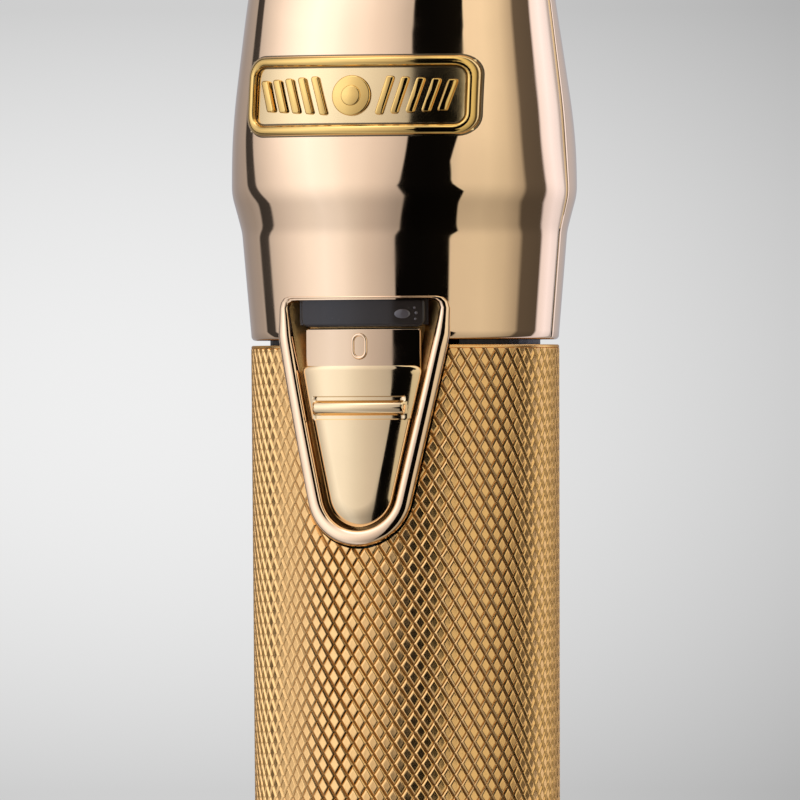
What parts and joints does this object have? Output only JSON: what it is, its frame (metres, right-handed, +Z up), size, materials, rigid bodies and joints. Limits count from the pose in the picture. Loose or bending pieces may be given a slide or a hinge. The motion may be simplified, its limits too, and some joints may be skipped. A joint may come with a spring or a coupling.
{
  "type": "hair clipper",
  "caption": "Cordless hair clipper with a knurled metal barrel, polished two-shell head, slide switch in a shield-shaped frame and a T-blade.",
  "frame": {"origin": "centre of the end cap's flat base, where the clipper stands", "axes": "+Z up the grip towards the blade; -Y is the front, with badge and switch; +X is the right when seen from the front"},
  "size_m": [0.04, 0.0407, 0.1665],
  "materials": {
    "rose_gold": "polished rose-gold plating",
    "barrel_gold": "knurled, satin gold plating",
    "pale_gold": "polished pale gold",
    "steel": "ground steel",
    "dark_steel": "black oxide",
    "black_plastic": "moulded",
    "smoked_lens": "smoked, clear gloss",
    "rubber": "matt",
    "board_green": "solder mask",
    "battery_sleeve": "blue shrink sleeve over a metal can",
    "nickel": "nickel plated",
    "copper": "copper",
    "red_wire": "wire insulation",
    "led_clear": "clear resin"
  },
  "bodies": {
    "handle": {"front_shell": "rose_gold", "rear_shell": "rose_gold", "mouth_plate": "black_plastic", "badge": "pale_gold", "barrel": "barrel_gold", "coupling_ring": "black_plastic", "end_cap": "rose_gold", "cap_screw_front": "dark_steel", "cap_screw_rear": "dark_steel", "cap_o_ring": "rubber", "dc_jack": "black_plastic", "jack_pin": "nickel", "switch_plate": "rose_gold", "window_lens": "smoked_lens", "circuit_board": "board_green", "status_led": "led_clear", "battery": "battery_sleeve", "battery_tab_positive": "nickel", "battery_tab_negative": "nickel", "inner_frame": "black_plastic", "motor_lead_red": "red_wire", "motor_lead_black": "rubber", "motor_can": "steel", "motor_bell": "black_plastic", "front_bearing": "copper", "rear_bearing": "copper", "stator_winding": "copper", "motor_mount": "steel", "motor_screw_left": "dark_steel", "motor_screw_right": "dark_steel", "pivot_pin": "steel", "blade_mount": "black_plastic", "fixed_blade": "steel", "blade_screw_left": "dark_steel", "blade_screw_right": "dark_steel", "tension_spring": "steel"},
    "switch": {"switch_button": "pale_gold", "switch_slider": "black_plastic"},
    "rotor": {"rotor_shaft": "steel", "rotor_magnet": "dark_steel", "eccentric": "steel", "cam_roller": "nickel"},
    "drive_arm": {"drive_arm": "black_plastic"},
    "cutter": {"cutter_blade": "dark_steel"}
  },
  "joints": [
    {"name": "switch_slide", "type": "slide", "parent": "handle", "child": "switch", "axis": [0, 0, 1], "range_m": [0, 0.004]},
    {"name": "rotor_spin", "type": "hinge", "parent": "handle", "child": "rotor", "pos_m": [0, 0.0015, 0.1135], "axis": [0, 0, 1], "continuous": true},
    {"name": "arm_rock", "type": "hinge", "parent": "handle", "child": "drive_arm", "pos_m": [0, 0.0015, 0.1329], "axis": [0, 1, 0], "range_deg": [-4.5, 4.5]},
    {"name": "cutter_slide", "type": "slide", "parent": "handle", "child": "cutter", "axis": [1, 0, 0], "range_m": [-0.0016, 0.0016]}
  ],
  "couplings": [
    {"joint": "cutter_slide", "follows": "arm_rock", "m_per_rad": 0.019}
  ]
}
